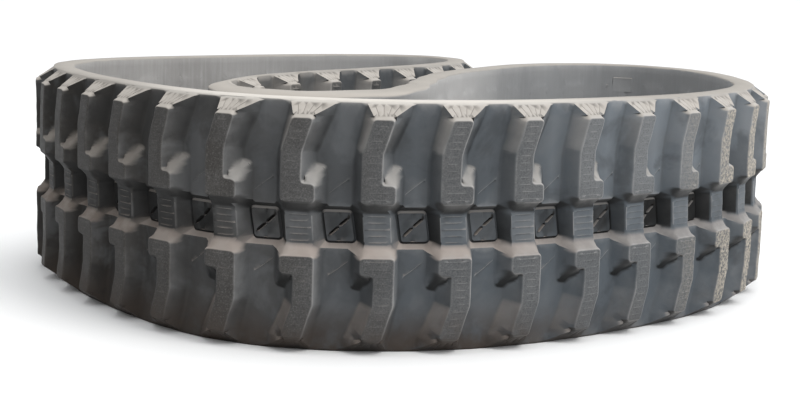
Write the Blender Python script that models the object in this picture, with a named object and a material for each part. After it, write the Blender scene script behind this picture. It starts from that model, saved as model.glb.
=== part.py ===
"""Endless rubber track for a small excavator, standing on its edge and folded for storage.

The belt is one long loop. A place on it is given by three belt coordinates:
    s  distance along the steel cord line, anticlockwise from the middle of the front run
    n  height over the cord line, positive towards the tread and negative towards the rollers
    z  distance across the belt, from its lower edge to its upper edge
belt_points() turns them into world coordinates, so every piece follows the same fold.
"""

import math

import bmesh
import bpy
import numpy as np
from mathutils import Matrix

MM = 0.001

# Size of the track: width x pitch x number of links.
WIDTH = 250 * MM
PITCH = 72.5 * MM
LINKS = 53

# Layers of the belt, as heights over the cord line.
CARCASS_TOP = 9.0 * MM
ROLLER_FACE = -16.5 * MM
CONTACT = 29.5 * MM
BRIDGE = 19.5 * MM
WINDOW_SKIN = 3.5 * MM
GAP = 0.3 * MM
PLY_BOTTOM = -2.0 * MM
PLY_TOP = 1.7 * MM
PLY_ROOF = PLY_TOP + GAP
INNER_TOP = PLY_BOTTOM - GAP

# Each steel core keeps HALF_CORE of belt on either side of its middle flat. The rest of a link bends.
HALF_CORE = 13.5 * MM
WINDOW_EDGE = 22.25 * MM
WINDOW_HALF_WIDTH = 17 * MM

# Steel core: a wing to each side, a saddle for the drive tooth and two guide horns.
CORE_HALF_LENGTH = 13.2 * MM
CORE_NEAR = 2.6 * MM
CORE_FAR = 10.0 * MM
CORE_REACH = 95 * MM
SADDLE_REACH = 34.7 * MM
SADDLE_FAR = 17.0 * MM
HORN_TIP = 44.0 * MM
HORN_OFFSET = 25.0 * MM
HORN_HALF_LENGTH = 12.0 * MM
HORN_HALF_WIDTH = 8.0 * MM
SADDLE_INSET = 0.4 * MM

# The two bands of steel cord run from the tips of the wings to the edges of the windows.
PLY_START = WIDTH / 2 - CORE_REACH
PLY_END = WIDTH / 2 - WINDOW_HALF_WIDTH - GAP
BANDS = {
    "lower_cord_band": (PLY_START, PLY_END),
    "upper_cord_band": (WIDTH - PLY_END, WIDTH - PLY_START),
}

# Where the belt turns back in the middle of the fold it leans in: angle, link and reach in links.
LEAN = math.radians(15)
LEAN_LINK = 26.0
LEAN_REACH = 7.0

# The cord line seen from above, anticlockwise: front run, right lobe, valley, left lobe.
FOLD = (
    (-0.023, -0.404), (0.117, -0.364), (0.238, -0.285), (0.343, -0.185), (0.416, -0.047), (0.431, 0.082),
    (0.404, 0.237), (0.305, 0.320), (0.180, 0.263), (0.115, 0.165), (0.062, 0.058), (0.025, -0.055),
    (-0.003, -0.168), (-0.035, -0.243), (-0.095, -0.273), (-0.150, -0.243), (-0.170, -0.168),
    (-0.140, -0.083), (-0.028, 0.073), (0.067, 0.245), (0.073, 0.338), (0.019, 0.395), (-0.135, 0.345),
    (-0.276, 0.233), (-0.365, 0.146), (-0.423, 0.009), (-0.366, -0.165), (-0.278, -0.288), (-0.168, -0.381),
)

# One lug, from the rim down to the middle of the belt. A row is the share of the width, then the
# places along the belt, in pitches from the core, of the foot, face, face and foot, then the height
# of the face and of the valley beside it. The lower half is the same, turned round the core.
LUG_ROWS = (
    (1.000, (-0.17, -0.10, 0.33, 0.485), CARCASS_TOP, CARCASS_TOP),
    (0.935, (-0.20, -0.07, 0.195, 0.43), CONTACT, CARCASS_TOP),
    (0.803, (-0.32, -0.224, 0.045, 0.21), CONTACT, CARCASS_TOP),
    (0.692, (-0.33, -0.226, 0.040, 0.32), CONTACT, CARCASS_TOP),
    (0.672, (-0.33, -0.226, 0.222, 0.345), CONTACT, CARCASS_TOP),
    (0.606, (-0.33, -0.226, 0.222, 0.34), CONTACT, CARCASS_TOP),
    (0.563, (-0.285, -0.20, 0.17, 0.285), BRIDGE, WINDOW_SKIN),
)


def cord_line():
    """A closed cubic spline through FOLD, scaled so that it measures LINKS pitches."""
    knots = np.array(FOLD)
    count = len(knots)
    ahead = np.roll(knots, -1, axis=0)
    step = np.sqrt(np.linalg.norm(ahead - knots, axis=1))
    system = np.zeros((count, count))
    rhs = np.zeros((count, 2))
    for i in range(count):
        before, after = step[i - 1], step[i]
        system[i, i - 1] = before
        system[i, i] = 2 * (before + after)
        system[i, (i + 1) % count] = after
        rhs[i] = 6 * ((ahead[i] - knots[i]) / after - (knots[i] - knots[i - 1]) / before)
    bend = np.linalg.solve(system, rhs)
    runs = []
    for i in range(count):
        j = (i + 1) % count
        t = np.linspace(0, 1, 120, endpoint=False)[:, None] * step[i]
        u = step[i] - t
        start = knots[i] / step[i] - bend[i] * step[i] / 6
        end = knots[j] / step[i] - bend[j] * step[i] / 6
        runs.append((bend[i] * u**3 + bend[j] * t**3) / (6 * step[i]) + start * u + end * t)
    points = np.vstack(runs)
    closed = np.vstack([points, points[:1]])
    length = np.concatenate([[0], np.cumsum(np.linalg.norm(np.diff(closed, axis=0), axis=1))])
    scale = LINKS * PITCH / length[-1]
    return length * scale, closed * scale


def link_frames():
    """The middle of each core on the cord line, its direction, and how far the belt leans there."""
    length, points = cord_line()

    def at(s):
        return np.column_stack([np.interp(s % length[-1], length, points[:, k]) for k in (0, 1)])

    s = np.arange(LINKS) * PITCH
    along = at(s + HALF_CORE) - at(s - HALF_CORE)
    along /= np.linalg.norm(along, axis=1)[:, None]
    reach = np.clip(np.abs(np.arange(LINKS) - LEAN_LINK) / LEAN_REACH, 0, 1)
    return at(s), along, -LEAN * (1 - reach**2 * (3 - 2 * reach))


CENTRE, ALONG, TILT = link_frames()
SHIFT = np.zeros(3)


def belt_points(s, n, z):
    """World coordinates of belt coordinates: flat over each core, and bending in between."""
    s, n, z = np.broadcast_arrays(np.asarray(s, float), n, z)
    link = np.floor((s + HALF_CORE) / PITCH).astype(int)
    u = s - link * PITCH
    here, after = link % LINKS, (link + 1) % LINKS
    start = CENTRE[here] + HALF_CORE * ALONG[here]
    end = CENTRE[after] - HALF_CORE * ALONG[after]
    span = np.linalg.norm(end - start, axis=-1)[..., None]
    t = np.clip((u - HALF_CORE) / (PITCH - 2 * HALF_CORE), 0, 1)[..., None]
    a, b = ALONG[here] * span, ALONG[after] * span
    place = ((2 * t**3 - 3 * t**2 + 1) * start + (t**3 - 2 * t**2 + t) * a
             + (3 * t**2 - 2 * t**3) * end + (t**3 - t**2) * b)
    way = (6 * t**2 - 6 * t) * (start - end) + (3 * t**2 - 4 * t + 1) * a + (3 * t**2 - 2 * t) * b
    flat = (u <= HALF_CORE)[..., None]
    place = np.where(flat, CENTRE[here] + u[..., None] * ALONG[here], place)
    way = np.where(flat, ALONG[here], way)
    way /= np.linalg.norm(way, axis=-1)[..., None]
    ease = (t**2 * (3 - 2 * t))[..., 0]
    tilt = np.where(flat[..., 0], TILT[here], TILT[here] * (1 - ease) + TILT[after] * ease)
    c, d = np.cos(tilt), np.sin(tilt)
    out = n * c + (z - WIDTH / 2) * d
    lift = -np.minimum(-CARCASS_TOP * d, -ROLLER_FACE * d)
    up = z * c - n * d + lift
    return np.stack([place[..., 0] + out * way[..., 1], place[..., 1] - out * way[..., 0], up], -1) + SHIFT


def core_matrix(link):
    """Frame of a core: X along the belt, Y towards the rollers, Z across the belt."""
    origin, ahead, inside, across = belt_points(
        np.array([0, HALF_CORE, 0, 0]) + link * PITCH,
        np.array([0, 0, -MM, 0]),
        np.array([0, 0, 0, MM]) + WIDTH / 2,
    )
    axes = [(p - origin) / np.linalg.norm(p - origin) for p in (ahead, inside, across)]
    return Matrix([[axes[0][k], axes[1][k], axes[2][k], origin[k]] for k in range(3)] + [[0, 0, 0, 1]])


def material(name, colour, roughness, metallic):
    """A Principled BSDF material."""
    made = bpy.data.materials.new(name)
    made.use_nodes = True
    shader = made.node_tree.nodes["Principled BSDF"]
    shader.inputs["Base Color"].default_value = (*colour, 1)
    shader.inputs["Roughness"].default_value = roughness
    shader.inputs["Metallic"].default_value = metallic
    made.diffuse_color = (*colour, 1)
    return made


def collection(name):
    """A new collection under the scene's own."""
    made = bpy.data.collections.new(name)
    bpy.context.scene.collection.children.link(made)
    return made


def add_node(name, mesh, surface, group):
    """Link an object for a mesh, with its material."""
    if not mesh.materials:
        mesh.materials.append(surface)
    node = bpy.data.objects.new(name, mesh)
    group.objects.link(node)
    return node


def closed_mesh(name, points, faces):
    """A mesh from points and faces, with its faces pointing out."""
    mesh = bpy.data.meshes.new(name)
    mesh.from_pydata([tuple(p) for p in points], [], faces)
    shape = bmesh.new()
    shape.from_mesh(mesh)
    bmesh.ops.recalc_face_normals(shape, faces=shape.faces)
    if shape.calc_volume(signed=True) < 0:
        bmesh.ops.reverse_faces(shape, faces=shape.faces)
    shape.to_mesh(mesh)
    shape.free()
    mesh.shade_smooth()
    mesh.set_sharp_from_angle(angle=math.radians(30))
    return mesh


def split(here_low, here_high, next_low, next_high):
    """Two triangles, cut from the lower corner here to the upper corner of the next section.

    The fold twists a little, so layers that lie against each other are all cut the same way.
    """
    return [(here_low, next_low, next_high), (here_low, next_high, here_high)]


def ring_mesh(name, sections):
    """Join a closed row of sections, each a loop of (s, n, z), into an endless solid."""
    sections = np.array(sections)
    count, sides = sections.shape[:2]
    points = belt_points(*sections.reshape(-1, 3).T)
    faces = []
    for i in range(count):
        j = (i + 1) % count
        for a in range(sides):
            b = (a + 1) % sides
            low, high = (a, b) if sections[i, a, 2] <= sections[i, b, 2] else (b, a)
            faces += split(i * sides + low, i * sides + high, j * sides + low, j * sides + high)
    return closed_mesh(name, points, faces)


def stations():
    """The four places in each link that all the endless layers share, with the link's middle."""
    for link in range(LINKS):
        for column, u in enumerate((-WINDOW_EDGE, -HALF_CORE, HALF_CORE, WINDOW_EDGE)):
            yield link * PITCH, column, u


def lug_rows():
    """All rows of a lug from the upper edge to the lower edge."""
    lower = []
    for z, at, face, valley in reversed(LUG_ROWS):
        lower.append((1 - z, tuple(-u for u in reversed(at)), face, valley))
    return list(LUG_ROWS) + lower


def tread_sections():
    """Outer rubber: lugs and valleys outside, and two shallow channels for the cord bands inside."""
    channels = []
    for lower, upper in BANDS.values():
        low, high = lower - GAP, upper + GAP
        channels += [(PLY_BOTTOM, low), (PLY_ROOF, low), (PLY_ROOF, high), (PLY_BOTTOM, high)]
    inside = [(PLY_BOTTOM, 0)] + channels + [(PLY_BOTTOM, WIDTH)]
    for middle, column, u in stations():
        section = []
        for z, at, face, valley in lug_rows():
            section.append((middle + at[column] * PITCH, face if column in (1, 2) else valley, z * WIDTH))
        section += [(middle + u, n, z) for n, z in inside]
        yield section


def ply_sections(lower, upper):
    """One band of steel cord."""
    corners = ((PLY_BOTTOM, lower), (PLY_TOP, lower), (PLY_TOP, upper), (PLY_BOTTOM, upper))
    for middle, _, u in stations():
        yield [(middle + u, n, z) for n, z in corners]


def inner_rubber_mesh(name):
    """Inner rubber: a pocket for each core's wings, a hole for its saddle, and a window between cores."""
    top, floor, face = INNER_TOP, -CORE_FAR - GAP, ROLLER_FACE
    middle = WIDTH / 2
    pocket = (middle - CORE_REACH - GAP, middle + CORE_REACH + GAP)
    hole = (middle - SADDLE_REACH - GAP, middle + SADDLE_REACH + GAP)
    window = (middle - WINDOW_HALF_WIDTH, middle + WINDOW_HALF_WIDTH)
    keys, faces = {}, []

    def add(*corners):
        faces.append([keys.setdefault(corner, len(keys)) for corner in corners])

    def plate(a, b, n, za, zb):
        add((a, n, za), (b, n, za), (b, n, zb), (a, n, zb))

    def bridge_face(core, gap):
        """The roller face from a core's edge to a window's edge, with the corners of both openings."""
        core_side = [(core, face, z) for z in (WIDTH, hole[1], hole[0], 0)]
        gap_side = [(gap, face, z) for z in (0, window[0], window[1], WIDTH)]
        add(*core_side, *gap_side)

    def strips(here, after, edges):
        """The face towards the cord, in the same strips as the layer that lies on it."""
        for low, high in zip(edges, edges[1:]):
            ends = [(place, top, z) for place in (here, after) for z in (low, high)]
            for corners in split(*ends):
                add(*corners)

    edges = (0, pocket[0], window[0], window[1], pocket[1], WIDTH)
    for link in range(LINKS):
        a, b = (4 * link, 4 * link + 1)
        c, d = (4 * link + 2, 4 * link + 3)
        e = (4 * link + 4) % (4 * LINKS)
        strips(b, c, edges)
        strips(d, e, edges)
        for some in (edges[:2], edges[-2:]):
            strips(a, b, some)
        for some in (edges[:3], edges[-3:]):
            strips(c, d, some)
        for lower, upper in ((0, hole[0]), (hole[1], WIDTH)):
            plate(a, b, face, lower, upper)
        for lower, upper in ((pocket[0], hole[0]), (hole[1], pocket[1])):
            plate(a, b, floor, lower, upper)
        bridge_face(b, c)
        bridge_face(e, d)
        for lower, upper in ((0, window[0]), (window[1], WIDTH)):
            plate(c, d, face, lower, upper)
        for side in (a, b):
            rim = [(side, top, z) for z in edges[1:-1]]
            add(*rim, (side, floor, pocket[1]), (side, floor, hole[1]), (side, face, hole[1]),
                (side, face, hole[0]), (side, floor, hole[0]), (side, floor, pocket[0]))
        for z in pocket:
            add((a, top, z), (b, top, z), (b, floor, z), (a, floor, z))
        for z in hole:
            add((a, floor, z), (b, floor, z), (b, face, z), (a, face, z))
        for side in (c, d):
            add((side, top, window[0]), (side, top, window[1]),
                (side, face, window[1]), (side, face, window[0]))
        for z in window:
            add((c, top, z), (d, top, z), (d, face, z), (c, face, z))
        for z in (0, WIDTH):
            for p, q in ((a, b), (b, c), (c, d), (d, e)):
                add((p, top, z), (q, top, z), (q, face, z), (p, face, z))
    places = (-HALF_CORE, HALF_CORE, WINDOW_EDGE, PITCH - WINDOW_EDGE)
    belt = [(station // 4 * PITCH + places[station % 4], n, z) for station, n, z in keys]
    return closed_mesh(name, belt_points(*np.array(belt).T), faces)


def block(name, low, high, group, tip=1.0):
    """A box between two corners. tip is the width of its far end (+Y) as a share of the near end."""
    shape = bmesh.new()
    bmesh.ops.create_cube(shape, size=1)
    middle = [(a + b) / 2 for a, b in zip(low, high)]
    for vertex in shape.verts:
        share = tip if vertex.co.y > 0 else 1.0
        shares = (share, 1.0, share)
        for k in range(3):
            half = (high[k] - low[k]) / 2 * shares[k]
            vertex.co[k] = middle[k] + math.copysign(half, vertex.co[k])
    mesh = bpy.data.meshes.new(name)
    shape.to_mesh(mesh)
    shape.free()
    made = bpy.data.objects.new(name, mesh)
    group.objects.link(made)
    return made


def core_mesh(helpers):
    """The steel core that every link shares: wings, saddle and two tapered guide horns."""
    wings = block("core_wings", (-CORE_HALF_LENGTH, CORE_NEAR, -CORE_REACH),
                  (CORE_HALF_LENGTH, CORE_FAR, CORE_REACH), helpers)
    saddle = block("core_saddle", (SADDLE_INSET - CORE_HALF_LENGTH, CORE_NEAR + 1 * MM, -SADDLE_REACH),
                   (CORE_HALF_LENGTH - SADDLE_INSET, SADDLE_FAR, SADDLE_REACH), helpers)
    horns = []
    for middle in (-HORN_OFFSET, HORN_OFFSET):
        horns.append(block("core_horn", (-HORN_HALF_LENGTH, SADDLE_FAR - 2 * MM, middle - HORN_HALF_WIDTH),
                           (HORN_HALF_LENGTH, HORN_TIP, middle + HORN_HALF_WIDTH), helpers, tip=0.5))
    for part in [saddle] + horns:
        part.hide_render = True
        part.display_type = "WIRE"
        join = wings.modifiers.new(part.name, "BOOLEAN")
        join.operation = "UNION"
        join.solver = "EXACT"
        join.object = part
    bpy.context.view_layer.update()
    evaluated = wings.evaluated_get(bpy.context.evaluated_depsgraph_get())
    mesh = bpy.data.meshes.new_from_object(evaluated)
    for part in [wings, saddle] + horns:
        bpy.data.objects.remove(part)
    mesh.name = "steel_core"
    return mesh


def centre_of_tread():
    """Half-way point of the tread's box in plan, which becomes the origin."""
    points = belt_points(*np.array(list(tread_sections())).reshape(-1, 3).T)
    middle = (points.min(axis=0) + points.max(axis=0)) / 2
    return np.array([middle[0], middle[1], 0])


def main():
    """Clear the scene and build the track."""
    for item in list(bpy.data.objects):
        bpy.data.objects.remove(item)
    track = collection("rubber_track")
    helpers = collection("cutters")
    rubber = material("tread_rubber", (0.055, 0.056, 0.058), 0.75, 0.0)
    soft_rubber = material("roller_rubber", (0.075, 0.077, 0.080), 0.7, 0.0)
    cord_steel = material("cord_steel", (0.45, 0.42, 0.36), 0.45, 1.0)
    core_steel = material("core_steel", (0.20, 0.19, 0.18), 0.55, 0.9)

    SHIFT[:] = -centre_of_tread()
    add_node("tread_rubber", ring_mesh("tread_rubber", list(tread_sections())), rubber, track)
    add_node("inner_rubber", inner_rubber_mesh("inner_rubber"), soft_rubber, track)
    for name, (lower, upper) in BANDS.items():
        add_node(name, ring_mesh(name, list(ply_sections(lower, upper))), cord_steel, track)
    core = core_mesh(helpers)
    for link in range(LINKS):
        node = add_node(f"steel_core_{link + 1:02d}", core, core_steel, track)
        node.matrix_world = core_matrix(link)


main()
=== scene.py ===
"""Looks of the folded rubber track: moulded rubber, steel cores, dust and wear with painted light and shade,
floor, light and camera.

The belt keeps the CAD's own fold. A place on it is given by three belt coordinates:
    s  distance along the cord line, anticlockwise from the middle of the front run
    n  height over the cord line, positive towards the tread and negative towards the rollers
    z  distance across the belt, from its lower edge to its upper edge
Each face of the rubber is drawn once, as the height map of one link, and repeated round the loop.
"""

import math

import bmesh
import bpy
import numpy as np
from mathutils import Matrix, Vector
from mathutils.geometry import delaunay_2d_cdt


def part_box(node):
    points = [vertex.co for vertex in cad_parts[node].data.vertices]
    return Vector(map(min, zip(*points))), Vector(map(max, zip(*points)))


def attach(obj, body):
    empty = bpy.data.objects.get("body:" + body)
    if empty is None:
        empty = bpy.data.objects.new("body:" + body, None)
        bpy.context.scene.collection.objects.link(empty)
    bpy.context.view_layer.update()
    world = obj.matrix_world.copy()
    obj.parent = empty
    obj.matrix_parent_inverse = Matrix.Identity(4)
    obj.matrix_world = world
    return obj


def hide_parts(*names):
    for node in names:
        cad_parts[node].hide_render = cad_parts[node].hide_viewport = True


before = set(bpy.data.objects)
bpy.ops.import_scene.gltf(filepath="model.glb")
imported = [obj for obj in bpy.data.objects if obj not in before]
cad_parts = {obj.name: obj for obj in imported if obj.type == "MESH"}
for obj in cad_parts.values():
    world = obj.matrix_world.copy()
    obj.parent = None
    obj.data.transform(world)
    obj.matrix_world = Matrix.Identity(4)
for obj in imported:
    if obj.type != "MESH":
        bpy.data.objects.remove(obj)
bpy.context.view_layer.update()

MM = 0.001

# Differences under SLACK are rounding errors, and TINY keeps a division from being by zero.
SLACK = 1e-6
TINY = 1e-15

# The belt, as in the CAD.
WIDTH = 250 * MM
PITCH = 72.5 * MM
LINKS = 53
LOOP = LINKS * PITCH
CARCASS_TOP = 9.0 * MM
ROLLER_FACE = -16.5 * MM
CONTACT = 29.5 * MM
BRIDGE = 19.5 * MM
WINDOW_SKIN = 2.2 * MM
PLY_BOTTOM = -2.0 * MM
PLY_TOP = 1.7 * MM
SEAM = -2.15 * MM
HALF_CORE = 13.5 * MM
WINDOW_EDGE = 22.25 * MM
WINDOW_HALF_WIDTH = 17 * MM
WINDOW_CORNER = 5 * MM
CORE_REACH = 95 * MM
SADDLE_REACH = 34.7 * MM
SADDLE_FAR = 17.0 * MM
HORN_TIP = 44.0 * MM
HORN_OFFSET = 25.0 * MM
LEAN = math.radians(15)
LEAN_LINK = 26.0
LEAN_REACH = 7.0

# The cord line seen from above, anticlockwise: front run, right lobe, valley, left lobe.
FOLD = (
    (-0.023, -0.404), (0.117, -0.364), (0.238, -0.285), (0.343, -0.185), (0.416, -0.047), (0.431, 0.082),
    (0.404, 0.237), (0.305, 0.320), (0.180, 0.263), (0.115, 0.165), (0.062, 0.058), (0.025, -0.055),
    (-0.003, -0.168), (-0.035, -0.243), (-0.095, -0.273), (-0.150, -0.243), (-0.170, -0.168),
    (-0.140, -0.083), (-0.028, 0.073), (0.067, 0.245), (0.073, 0.338), (0.019, 0.395), (-0.135, 0.345),
    (-0.276, 0.233), (-0.365, 0.146), (-0.423, 0.009), (-0.366, -0.165), (-0.278, -0.288), (-0.168, -0.381),
)

# Outlines of the tread on one link: place along the belt in pitches from the core, share of the
# width, and corner radius in millimetres. They are those of the upper lug; the lower one is turned.
CONTACT_OUTLINE = (
    (-0.08, 0.936, 3.5), (0.200, 0.936, 4), (0.045, 0.800, 14), (0.038, 0.680, 4.5),
    (0.222, 0.680, 5), (0.222, 0.606, 4), (-0.226, 0.606, 4), (-0.224, 0.800, 14),
)
LEFT_FOOT = (
    (-0.17, 0.990, 0), (-0.20, 0.950, 8), (-0.31, 0.812, 10), (-0.33, 0.770, 5), (-0.33, 0.594, 0),
)
RIGHT_FOOT = (
    (0.455, 0.990, 0), (0.415, 0.940, 8), (0.295, 0.857, 10), (0.205, 0.790, 8), (0.215, 0.748, 4),
    (0.325, 0.742, 5), (0.350, 0.705, 6), (0.345, 0.594, 0),
)
TRENCH_TOP = 0.584
BRIDGE_TOP = 0.563
BRIDGE_LEFT = -0.20
BRIDGE_RIGHT = 0.17
WINDOW_NEAR = 0.27
WINDOW_FAR = 0.335
WINDOW_TOP = 0.562

# Rounded edges, as rows of (distance from the edge, drop in n) in mm. The contact face adds
# shares of contact and wear, the bridges add wear, and the feet and windows add hollow, a share of painted
# shade.
CONTACT_EDGE = (
    (-1.7, 0.0, 1.0, 0.0), (-0.8, 0.08, 1.0, 0.15), (0.0, 0.35, 0.85, 0.8), (0.5, 0.95, 0.3, 1.0),
    (0.9, 2.1, 0.0, 0.6),
)
FOOT_EDGE = ((1.7, -2.3, 0.1), (0.3, -0.7, 0.25), (-1.8, 0.0, 0.1))
BRIDGE_EDGE = ((-1.0, 0.0, 0.1), (0.0, 0.3, 0.9), (0.7, 1.6, 0.3))
SLIT_SKIN_EDGE = ((-1.2, 0.0, 0.0), (0.0, -0.35, 0.15), (1.2, -1.7, 0.2))
OPEN_WINDOW_EDGE = ((0.0, -1.5, 0.3), (1.5, -0.4, 0.1), (3.2, 0.0, 0.0))
TREAD_RIM = ((0.0, 2.2), (0.9, 0.6), (2.4, 0.0))
ROLLER_RIM = ((0.0, -2.4), (0.9, -0.7), (2.6, 0.0))

# The lug's shoulder: its distance from the contact face, and its drop in mm facing along and across.
SHOULDER = 2.4 * MM
SHOULDER_DROP_ALONG = 7.0
SHOULDER_DROP_ACROSS = 3.4

# The swelling over each core: half its length, half its width, how far it stands out (all in mm), wear.
CORE_SWELLING = (
    (15.0, 96.0, 0.7, 0.1), (18.5, 100.0, 0.0, 0.0), (17.2, 38.2, 0.8, 0.0),
    (15.2, 36.4, 2.1, 0.4), (13.6, 35.1, 2.0, 0.3), (12.6, 34.1, -0.3, 0.0),
)
SWELLING_CORNER = 4

# Raised lines from the mould, and cuts. Lines along the belt are shares of the width, gusset cuts have
# their two ends in pitches, and other places are (pitches, share of the width).
MOULD_LINES = np.arange(0.622, 0.925, 0.0287)
BRIDGE_LINES = (0.448, 0.474, 0.5, 0.526, 0.552)
GUSSET_CUTS = ((-0.02, -0.06), (0.045, 0.055), (0.105, 0.165), (0.155, 0.27))
CARCASS_LINES = (((0.33, 0.625), (0.5, 0.666)), ((-0.35, 0.70), (-0.5, 0.666)))
SLIT = ((0.368, 0.464), (0.5, 0.5))

# The rubber's unevenness: its wave lengths in metres, and the seed of their draws.
UNEVEN_LENGTHS = (0.09, 0.035, 0.014)
UNEVEN_SEED = 7

# Steps between the points of an outline, and the places of a rim's points on one link.
OUTLINE_STEP = 3.5 * MM
LONG_STEP = 4 * MM
ARC_STEP = math.radians(18)
RIM_COLUMNS = np.linspace(-PITCH / 2, PITCH / 2, 13)


# ---- the belt's path


def cord_line():
    """A closed cubic spline through FOLD, scaled so that it measures LINKS pitches."""
    knots = np.array(FOLD)
    count, fineness = len(knots), 120
    ahead = np.roll(knots, -1, axis=0)
    step = np.sqrt(np.linalg.norm(ahead - knots, axis=1))
    system = np.zeros((count, count))
    rhs = np.zeros((count, 2))
    for i in range(count):
        before, after = step[i - 1], step[i]
        system[i, i - 1] = before
        system[i, i] = 2 * (before + after)
        system[i, (i + 1) % count] = after
        rhs[i] = 6 * ((ahead[i] - knots[i]) / after - (knots[i] - knots[i - 1]) / before)
    bend = np.linalg.solve(system, rhs)
    runs = []
    for i in range(count):
        j = (i + 1) % count
        t = np.linspace(0, 1, fineness, endpoint=False)[:, None] * step[i]
        u = step[i] - t
        start = knots[i] / step[i] - bend[i] * step[i] / 6
        end = knots[j] / step[i] - bend[j] * step[i] / 6
        runs.append((bend[i] * u**3 + bend[j] * t**3) / (6 * step[i]) + start * u + end * t)
    points = np.vstack(runs)
    closed = np.vstack([points, points[:1]])
    length = np.concatenate([[0], np.cumsum(np.linalg.norm(np.diff(closed, axis=0), axis=1))])
    scale = LOOP / length[-1]
    return length * scale, closed * scale, scale


def link_frames():
    """The middle of each core on the cord line, its direction, and how far the belt leans there."""
    length, points, scale = cord_line()

    def at(s):
        return np.column_stack([np.interp(s % length[-1], length, points[:, k]) for k in (0, 1)])

    s = np.arange(LINKS) * PITCH
    along = at(s + HALF_CORE) - at(s - HALF_CORE)
    along /= np.linalg.norm(along, axis=1)[:, None]
    reach = np.clip(np.abs(np.arange(LINKS) - LEAN_LINK) / LEAN_REACH, 0, 1)
    return at(s), along, -LEAN * (1 - reach**2 * (3 - 2 * reach)), scale


CENTRE, ALONG, TILT, FOLD_SCALE = link_frames()
SHIFT = np.zeros(3)


def belt_points(s, n, z):
    """World coordinates of belt coordinates: flat over each core, and bending in between."""
    s, n, z = np.broadcast_arrays(np.asarray(s, float), n, z)
    link = np.floor((s + HALF_CORE) / PITCH).astype(int)
    u = s - link * PITCH
    here, after = link % LINKS, (link + 1) % LINKS
    start = CENTRE[here] + HALF_CORE * ALONG[here]
    end = CENTRE[after] - HALF_CORE * ALONG[after]
    span = np.linalg.norm(end - start, axis=-1)[..., None]
    t = np.clip((u - HALF_CORE) / (PITCH - 2 * HALF_CORE), 0, 1)[..., None]
    a, b = ALONG[here] * span, ALONG[after] * span
    place = ((2 * t**3 - 3 * t**2 + 1) * start + (t**3 - 2 * t**2 + t) * a
             + (3 * t**2 - 2 * t**3) * end + (t**3 - t**2) * b)
    way = (6 * t**2 - 6 * t) * (start - end) + (3 * t**2 - 4 * t + 1) * a + (3 * t**2 - 2 * t) * b
    flat = (u <= HALF_CORE)[..., None]
    place = np.where(flat, CENTRE[here] + u[..., None] * ALONG[here], place)
    way = np.where(flat, ALONG[here], way)
    way /= np.linalg.norm(way, axis=-1)[..., None]
    ease = (t**2 * (3 - 2 * t))[..., 0]
    tilt = np.where(flat[..., 0], TILT[here], TILT[here] * (1 - ease) + TILT[after] * ease)
    c, d = np.cos(tilt), np.sin(tilt)
    out = n * c + (z - WIDTH / 2) * d
    lift = -np.minimum(-CARCASS_TOP * d, -ROLLER_FACE * d)
    up = z * c - n * d + lift
    return np.stack([place[..., 0] + out * way[..., 1], place[..., 1] - out * way[..., 0], up], -1) + SHIFT


def set_shift():
    """Moves the path to where the CAD's cord band lies."""
    low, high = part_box("lower_cord_band")
    marks = (-WINDOW_EDGE, -HALF_CORE, HALF_CORE, WINDOW_EDGE)
    stations = [k * PITCH + u for k in range(LINKS) for u in marks]
    points = np.vstack([
        belt_points(stations, n, z)
        for n in (PLY_BOTTOM, PLY_TOP)
        for z in (WIDTH / 2 - CORE_REACH, WIDTH / 2 - WINDOW_HALF_WIDTH)
    ])
    middle = (points.min(axis=0) + points.max(axis=0)) / 2
    SHIFT[:2] = [(low[k] + high[k]) / 2 - middle[k] for k in (0, 1)]


# ---- drawing one link


def rounded(corners, closed=True):
    """Points in metres along an outline of (pitches, share of width, radius in mm) corners."""
    places = [Vector((u * PITCH, z * WIDTH)) for u, z, _ in corners]
    count, most = len(places), 0.45
    points = []
    for i, place in enumerate(places):
        radius = corners[i][2] * MM
        if not radius or (not closed and i in (0, count - 1)):
            points.append(place)
            continue
        before, after = places[i - 1] - place, places[(i + 1) % count] - place
        angle = before.angle(after)
        trim = min(radius / math.tan(angle / 2), most * before.length, most * after.length)
        start, end = place + before.normalized() * trim, place + after.normalized() * trim
        steps = max(2, round((math.pi - angle) / ARC_STEP))
        for k in range(steps + 1):
            t = k / steps
            points.append(start * (1 - t) ** 2 + place * 2 * t * (1 - t) + end * t**2)
    return points


def spread(points, step, closed):
    """The same path with points no further apart than step."""
    out = []
    for a, b in zip(points, points[1:] + points[:1] if closed else points[1:]):
        parts = max(1, math.ceil((b - a).length / step))
        out += [a.lerp(b, k / parts) for k in range(parts)]
    return out if closed else out + [points[-1]]


def offset(points, distance, closed=True):
    """The path moved sideways: outwards for a clockwise loop, and to the left of an open path."""
    out = []
    count = len(points)
    nothing, sharpest = 1e-9, 0.5
    for i, point in enumerate(points):
        before = points[i - 1] if closed or i else point
        after = points[(i + 1) % count] if closed or i < count - 1 else point
        one, two = point - before, after - point
        one = one.normalized() if one.length > nothing else two.normalized()
        two = two.normalized() if two.length > nothing else one
        way = (one + two).normalized()
        side = Vector((-way.y, way.x))
        out.append(point + side * distance / max(sharpest, way.dot(one)))
    return out


def nearest(place, starts, ends):
    """Where on each line the point nearest to a place lies, as a share of the line, and how far off."""
    way = ends - starts
    share = np.clip(((place - starts) * way).sum(1) / np.maximum((way**2).sum(1), TINY), 0, 1)
    return share, np.linalg.norm(starts + way * share[:, None] - place, axis=1)


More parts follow.
